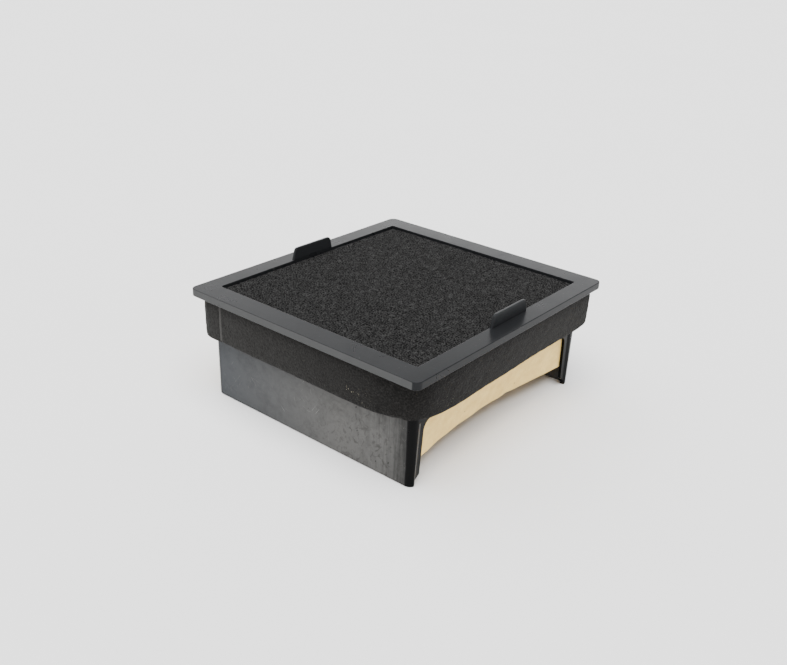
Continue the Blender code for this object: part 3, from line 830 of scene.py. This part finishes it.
def build_seal_band():
    """One foam strip: a little wavy, stretched thin round the front left corner, worn round below
    at the front right one, and leaning in below."""
    s, path, normal = band_path(0.62 * MM)
    x, y = path[:, 0], path[:, 1]
    inner_half = np.array((68.2 * MM, 62.1 * MM))
    corner = 4.5 * MM
    inner = np.clip(path, -inner_half, inner_half)
    over = np.abs(inner) - (inner_half - corner)
    both = (over > 0).all(1)
    pull = np.where(both, np.maximum(np.hypot(*over.T) / corner, 1.0), 1.0)
    kept = (inner_half - corner) + over / pull[:, None]
    inner = np.where(both[:, None], np.sign(inner) * kept, inner)
    painted_light_front = smooth_step(-y, 40 * MM, 62 * MM)
    left = smooth_step(-x, 50 * MM, 68 * MM)
    bulge = 0.35 * MM * waves(s, s * 0, 60 * MM, 31)
    bulge += painted_light_front * (0.55 * MM * bell(x, -42 * MM, 16 * MM) - 0.75 * MM * bell(x, 10 * MM, 20 * MM))
    bulge -= left * 1.9 * MM * bell(y, -55.5 * MM, 9 * MM)
    lower = BAND_LOW.z + 0.3 * MM + 0.22 * MM * waves(s, s * 0 + 1, 45 * MM, 37)
    lower += 1.1 * MM * bell(np.hypot(x + 66 * MM, y + 60 * MM), 0, 9 * MM)
    upper = BAND_HIGH.z - 0.05 * MM - 0.12 * MM * (1 + waves(s, s * 0 + 2, 35 * MM, 41)) / 2
    ends = np.minimum(s, s[-1] - s)
    crease = 0.18 * MM * np.exp(-ends / (0.8 * MM))
    soft = 0.7 * MM
    worn = bell(np.hypot(x - 70 * MM, y + 62 * MM), 0, 9 * MM)
    height, edge_reach, worn_reach = 20.2 * MM, 0.9 * MM, 2.0 * MM   # of the strip and its roundings
    rows = []

    def row(across, z, relief=None):
        place = inner + (path + normal * bulge[:, None] - inner) * across[:, None]
        if relief is not None:
            place = place + normal * relief[:, None]
        rows.append(np.column_stack([place, z]))

    ones = np.ones(len(s))
    inset = soft * (1 + 0.9 * worn) + 0.9 * MM
    for t in np.linspace(0, 1, 5):
        row(ones * t, lower + 0.06 * MM * waves(s, s * 0 + t, 4 * MM, 43), -inset * t)
    shares = np.linspace(0, 1, 26)
    levels = lower + (upper - lower) * shares[:, None]
    face_pores = cell_relief(np.broadcast_to(s, levels.shape), levels, 1.25 * MM, 47)
    for t, z, pores in zip(shares, levels, face_pores):
        lean = -0.55 * MM * (1 - t) ** 1.5 - 0.30 * MM * t ** 6
        edge = -soft * np.clip(1 - (1 - t) * height / edge_reach, 0, 1) ** 2
        below = np.clip(1 - t * height / (edge_reach + worn_reach * worn), 0, 1)
        edge = edge - soft * (1 + 0.9 * worn) * below ** 2
        rough = -0.14 * MM * pores + 0.06 * MM * waves(s, z, 7 * MM, 53) - crease
        row(ones, z, rough + lean + edge)
    for t in np.linspace(1, 0, 5):
        row(ones * t, upper, -(soft + 0.6 * MM) * t * ones)
    for t in np.linspace(0, 1, 7)[1:-1]:
        row(ones * 0, upper + (lower - upper) * t)
    grid = np.array(rows)
    m, n = grid.shape[:2]
    number = np.arange(m * n).reshape(m, n)
    faces = []
    for i in range(m):
        a, b = number[i], number[(i + 1) % m]
        faces += np.stack([a[:-1], a[1:], b[1:], b[:-1]], -1).tolist()
    faces.append(number[:, 0].tolist())
    faces.append(number[::-1, -1].tolist())
    piece = from_faces("seal_band_foam", grid.reshape(-1, 3), faces, SEAL_FOAM, 60)
    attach(piece, "cassette")
    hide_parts("seal_band")


# ---------------- pleated paper

PAPER_THICK = 0.5 * MM
PLEATS = 12
BOW = 5.0 * MM


def sag_profile(t):
    """How far the front fold bows in at t, from -1 at the left lip to 1 at the right one.

    The sheet bends evenly on the left, buckles a little at a soft crease, and runs nearly straight
    from there to the right.
    """
    crease = 0.24
    left = 1 - ((t - 0.02) / 1.02) ** 2
    right = (1 - t) / (1 - crease) * (1 - ((crease - 0.02) / 1.02) ** 2)
    blend = 1 / (1 + np.exp(-(t - crease) / 0.045))
    buckle = 0.085 * bell(t, crease + 0.03, 0.05) - 0.050 * bell(t, crease - 0.09, 0.06)
    return np.clip(left * (1 - blend) + right * blend + buckle, 0, None)


def pleat_line():
    """Points (y, z, pleat number, share of the sag) along the folded sheet, front to rear."""
    face = PACK_HIGH.y - PAPER_THICK / 2
    top = PACK_HIGH.z - PAPER_THICK / 2
    bottom = PACK_LOW.z + PAPER_THICK / 2
    pitch = 2 * face / PLEATS
    r = 0.75 * MM
    corners = [(-face, top, 0), (-face, bottom, 0)]
    for i in range(PLEATS):
        corners.append((-face + (i + 0.5) * pitch, top, i + 0.5))
        corners.append((-face + (i + 1) * pitch, bottom, i + 1))
    corners.append((face, top, PLEATS))
    line = []
    last = len(corners) - 1
    for k, (y, z, pleat) in enumerate(corners):
        if k in (0, last):
            line.append((y, z, pleat))
            continue
        here = Vector((y, z))
        a = Vector(corners[k - 1][:2]) - here
        b = Vector(corners[k + 1][:2]) - here
        for t in np.linspace(0, 1, 6):
            p = here + a.normalized() * 2 * r * (1 - t) ** 2 + b.normalized() * 2 * r * t ** 2
            line.append((p.x, here.y + (p.y - here.y) * 0.75, pleat))
    dense = [line[0]]
    for p, q in zip(line, line[1:]):
        steps = 6 if abs(q[1] - p[1]) > 5 * MM else 1
        for t in range(1, steps + 1):
            dense.append(tuple(p[j] + (q[j] - p[j]) * t / steps for j in range(3)))
    return np.array(dense)


def build_pleat_pack():
    line = pleat_line()
    half = PACK_HIGH.x
    stations = 72
    t = np.linspace(-1, 1, stations + 1)
    y0, z0, pleat = line.T
    low, high = PACK_LOW.z, WINDOW_TOP + 1 * MM
    free = np.clip((high - z0) / (high - low), 0, 1) ** 0.9
    weight = (np.exp(-pleat / 2.0) - np.exp(-(PLEATS - pleat) / 2.0)) * free
    bow_front = sag_profile(t)
    bow_rear = 1 - t ** 2
    rows = []
    for i, at in enumerate(t):
        bow = np.where(pleat < PLEATS / 2, bow_front[i], bow_rear[i])
        ripple = 0.22 * MM * waves(at * half + 0 * z0, z0 + 3 * y0, 24 * MM, 61) * free * (1 - at ** 8)
        sag = 0.18 * MM * waves(at * half + 0 * z0, pleat * 9 * MM, 30 * MM, 67) * (1 - at ** 8)
        y = y0 + BOW * bow * weight + ripple
        rows.append(np.column_stack([at * half + 0 * y0, y, z0 + sag * free]))
    grid = np.array(rows)
    m, n = grid.shape[:2]
    quads = sheet_quads(np.arange(m * n).reshape(m, n)).reshape(-1, 4).tolist()
    piece = from_faces("pleated_paper", grid.reshape(-1, 3), quads, PAPER)
    modify(piece, "SOLIDIFY", thickness=PAPER_THICK, offset=0.0, use_even_offset=False)
    shade(piece.data, 50)
    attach(piece, "cassette")
    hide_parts("pleat_pack")


# ---------------- adhesive, mats and grid

def build_bead(node, name):
    """A hot-melt bead poured along the node's longest side, domed away from the pleats."""
    low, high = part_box(node)
    size = high - low
    along = 0 if size.x > size.y else 1
    across = 1 - along
    upward = low.z > PACK_HIGH.z - 1 * MM
    stations, ribs = 90, 9
    s = np.linspace(0, 1, stations + 1)
    seed = sum(map(ord, node))
    swell = 1 + 0.10 * waves(s * size[along], s * 0, 9 * MM, seed)
    ends = np.clip(np.minimum(s, 1 - s) * size[along] / (1.2 * MM), 0.0, 1)
    swell = swell / 1.12 * np.sqrt(1 - (1 - ends) ** 2 * 0.75)
    wander = 0.10 * MM * waves(s * size[along], s * 0 + 1, 22 * MM, seed + 1)
    points = []
    for i in range(stations + 1):
        for k in range(ribs):
            angle = math.pi * k / (ribs - 1)
            reach = -math.cos(angle) * size[across] / 2 * swell[i] * 0.94
            rise = math.sin(angle) ** 0.8 * size.z * swell[i]
            place = [0.0, 0.0, (low.z + rise) if upward else (high.z - rise)]
            place[along] = low[along] + s[i] * size[along]
            shift = wander[i] * (0.94 - abs(reach) / size[across])
            place[across] = (low[across] + high[across]) / 2 + reach + shift
            points.append(place)
    faces = quads_between(stations + 1, ribs)
    faces += [list(range(ribs)), list(range(len(points) - 1, len(points) - 1 - ribs, -1))]
    piece = from_faces(name, points, faces, ADHESIVE, 50)
    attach(piece, "cassette")
    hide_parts(node)


def build_potting(node, name):
    """The bed of adhesive that holds the pleats' ends, its lower face wavy where it set.

    It stands back from both ends of its node, out of sight behind the first and the last pleat.
    """
    low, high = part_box(node)
    bm = bmesh.new()
    bmesh.ops.create_cube(bm, size=1.0)
    for axis, cuts in ((1, 116), (2, 12), (0, 5)):
        edges = [e for e in bm.edges if abs((e.verts[0].co - e.verts[1].co)[axis]) > 0.5]
        bmesh.ops.subdivide_edges(bm, edges=edges, cuts=cuts, use_grid_fill=True)
    side = 1 if low.x > 0 else -1
    pitch = (PACK_HIGH.y - PACK_LOW.y) / PLEATS
    set_back = 2.0 * MM
    high.y, low.y = high.y - set_back, low.y + set_back
    for v in bm.verts:
        p = Vector([low[k] + (v.co[k] + 0.5) * (high[k] - low[k]) for k in range(3)])
        foot = max(0.0, -v.co.z * 2)
        inward = max(0.0, -v.co.x * 2 * side)
        wave = 0.5 + 0.5 * math.cos(TAU * (p.y - PACK_LOW.y) / pitch)
        p.z += foot ** 6 * (0.9 * MM * inward ** 2 + 0.55 * MM * wave)
        p.x += side * 0.25 * MM * inward ** 4 * foot ** 6
        v.co = p
    mesh = bpy.data.meshes.new(name)
    bm.to_mesh(mesh)
    bm.free()
    piece = new_object(name, mesh, ADHESIVE, 55)
    soften_edges(piece, 0.3 * MM, 2, 50)
    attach(piece, "cassette")
    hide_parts(node)


def build_mat(node, name, mat, roughness, seed):
    """A flat layer with a fibrous or granular top and underside and soft cut edges."""
    low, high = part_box(node)
    nx, ny = 110, 102
    inset = 0.15 * MM
    u = np.linspace(low.x + inset, high.x - inset, nx + 1)
    v = np.linspace(low.y + inset, high.y - inset, ny + 1)
    gu, gv = np.meshgrid(u, v, indexing="ij")
    border = np.minimum(np.minimum(gu - u[0], u[-1] - gu), np.minimum(gv - v[0], v[-1] - gv))
    soft = np.clip(border / (1.0 * MM), 0, 1)
    radius = 1.6 * MM
    cu, cv = u[-1] - radius, v[-1] - radius
    corner = np.hypot(np.clip(abs(gu) - cu, 0, None), np.clip(abs(gv) - cv, 0, None))
    pull = np.where(corner > radius, radius / np.maximum(corner, 1e-9), 1.0)
    at_corner = (abs(gu) > cu) & (abs(gv) > cv)
    gu = np.where(at_corner, np.sign(gu) * (cu + (abs(gu) - cu) * pull), gu)
    gv = np.where(at_corner, np.sign(gv) * (cv + (abs(gv) - cv) * pull), gv)
    middle = (low.z + high.z) / 2
    halves = (high.z - low.z) / 2 * (0.55 + 0.35 * soft)
    relief = roughness * cell_relief(gu, gv, 1.9 * MM, seed)
    top = np.stack([gu, gv, middle + halves - relief], -1).reshape(-1, 3)
    under = np.stack([gu, gv, middle - halves + relief], -1).reshape(-1, 3)
    number = np.arange(top.shape[0]).reshape(nx + 1, ny + 1)
    quads = sheet_quads(number).reshape(-1, 4)
    rim = sheet_rim(number)
    shift = top.shape[0]
    faces = quads.tolist() + (quads[:, ::-1] + shift).tolist()
    nxt = np.roll(rim, -1)
    faces += np.stack([nxt, rim, rim + shift, nxt + shift], -1).tolist()
    piece = from_faces(name, np.vstack([top, under]), faces, mat, 60)
    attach(piece, "cassette")
    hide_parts(node)
    return piece


def build_grid():
    """The CAD grille with softened bars."""
    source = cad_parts["prefilter_grid"]
    mesh = source.data.copy()
    bm = bmesh.new()
    bm.from_mesh(mesh)
    bmesh.ops.remove_doubles(bm, verts=bm.verts[:], dist=1e-6)
    bmesh.ops.dissolve_limit(bm, angle_limit=math.radians(1), verts=bm.verts[:], edges=bm.edges[:])
    bm.to_mesh(mesh)
    bm.free()
    mesh.materials.clear()
    piece = new_object("prefilter_support_grid", mesh, GRID_PLASTIC, 40)
    soften_edges(piece, 0.25 * MM, 2)
    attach(piece, "cassette")
    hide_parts("prefilter_grid")


def dress_tape():
    """The tape keeps its CAD shape and only gets its material."""
    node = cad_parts["band_adhesive_tape"]
    for slot_item in node.material_slots:
        slot_item.material = TAPE


def build_inside():
    for number in range(1, 5):
        build_bead(f"spacer_bead_upper_{number}", f"upper_spacer_{number}")
        build_bead(f"spacer_bead_lower_{number}", f"lower_spacer_{number}")
    build_bead("edge_bead_front", "front_edge_glue")
    build_bead("edge_bead_rear", "rear_edge_glue")
    build_potting("end_potting_left", "left_potting")
    build_potting("end_potting_right", "right_potting")
    upper = build_mat("fleece_upper", "upper_fleece", FLEECE, 0.04 * MM, 71)
    lower = build_mat("fleece_lower", "lower_fleece", FLEECE, 0.04 * MM, 73)
    carbon = build_mat("carbon_mat", "carbon_layer", CARBON, 0.30 * MM, 79)
    build_grid()
    dress_tape()


# ---------------- stage

def add_camera():
    az, el = CAMERA_AZIMUTH, CAMERA_ELEVATION
    back = Vector((math.sin(az) * math.cos(el), -math.cos(az) * math.cos(el), math.sin(el)))
    right = (-back).cross(Vector((0, 0, 1))).normalized()
    up = right.cross(-back)
    turned_right = right * math.cos(CAMERA_ROLL) + up * math.sin(CAMERA_ROLL)
    turned_up = up * math.cos(CAMERA_ROLL) - right * math.sin(CAMERA_ROLL)
    data = bpy.data.cameras.new("camera")
    data.lens = CAMERA_LENS
    data.clip_start = 0.01
    camera = link_object("camera", data)
    turn = Matrix((turned_right, turned_up, back)).transposed().to_4x4()
    camera.matrix_world = Matrix.Translation(CAMERA_PLACE) @ turn
    bpy.context.scene.camera = camera


def add_overhead(direction, strength, spread):
    """One wide soft light from high above the camera's corner; it falls evenly on the whole floor."""
    data = bpy.data.lights.new("overhead", "SUN")
    data.energy = strength
    data.angle = math.radians(spread)
    lamp = link_object("overhead", data)
    lamp.location = direction
    lamp.rotation_euler = Vector(direction).to_track_quat("Z", "Y").to_euler()


def add_floor():
    g = Graph("pale_floor", Specular_IOR_Level=0.2, Roughness=0.9)
    cloud = g.noise(0.25, 3)
    g.set("Base Color", g.mix(cloud, (0.86, 0.86, 0.86), (0.89, 0.89, 0.89)))
    mesh = bpy.data.meshes.new("floor")
    reach = 6.0
    mesh.from_pydata([(-reach, -reach, 0), (reach, -reach, 0), (reach, reach, 0), (-reach, reach, 0)],
                     [], [(0, 1, 2, 3)])
    floor = link_object("floor", mesh)
    floor.location.z = cad_bounds[0].z - 0.1 * MM
    mesh.materials.append(g.mat)


def add_lights():
    """A world whose brightness depends on the direction, and one soft overhead light."""
    world = bpy.data.worlds.new("studio")
    bpy.context.scene.world = world
    world.use_nodes = True
    nodes, links = world.node_tree.nodes, world.node_tree.links
    background = nodes["Background"]
    background.inputs["Color"].default_value = (1, 1, 1, 1)
    place = nodes.new("ShaderNodeTexCoord").outputs["Generated"]

    def ramp(value, *levels):
        node = nodes.new("ShaderNodeMapRange")
        node.interpolation_type = "SMOOTHSTEP"
        for socket, level in zip(("From Min", "From Max", "To Min", "To Max"), levels):
            node.inputs[socket].default_value = level
        links.new(value, node.inputs["Value"])
        return node.outputs[0]

    def lobe(direction, *levels):
        node = nodes.new("ShaderNodeVectorMath")
        node.operation = "DOT_PRODUCT"
        node.inputs[1].default_value = direction
        links.new(place, node.inputs[0])
        return ramp(node.outputs["Value"], *levels)

    def join(operation, first, second):
        node = nodes.new("ShaderNodeMath")
        node.operation = operation
        links.new(first, node.inputs[0])
        links.new(second, node.inputs[1])
        return node.outputs[0]

    rise = nodes.new("ShaderNodeSeparateXYZ")
    links.new(place, rise.inputs[0])
    fade = ramp(rise.outputs[2], 0.350, 0.480, 1.56, 0.10)
    # a soft patch of light high up behind the left side, for the flange's rounded edge
    patch = lobe((-0.15, 0.60, 0.786), 0.80, 0.97, 0.0, 2.6)
    # the wall behind the object is brighter, for the sheen of the flange's top
    wall = lobe((0.78, 0.62, 0.0), 0.35, 0.85, 1.0, 2.15)
    strength = join("MULTIPLY", join("ADD", fade, patch), wall)
    links.new(strength, background.inputs["Strength"])
    add_overhead((-0.35, -0.28, 1.25), 6.4, 56)


add_camera()
build_top_frame()
build_body_shell()
build_prefilter_foam()
build_seal_band()
build_pleat_pack()
build_inside()
add_floor()
add_lights()
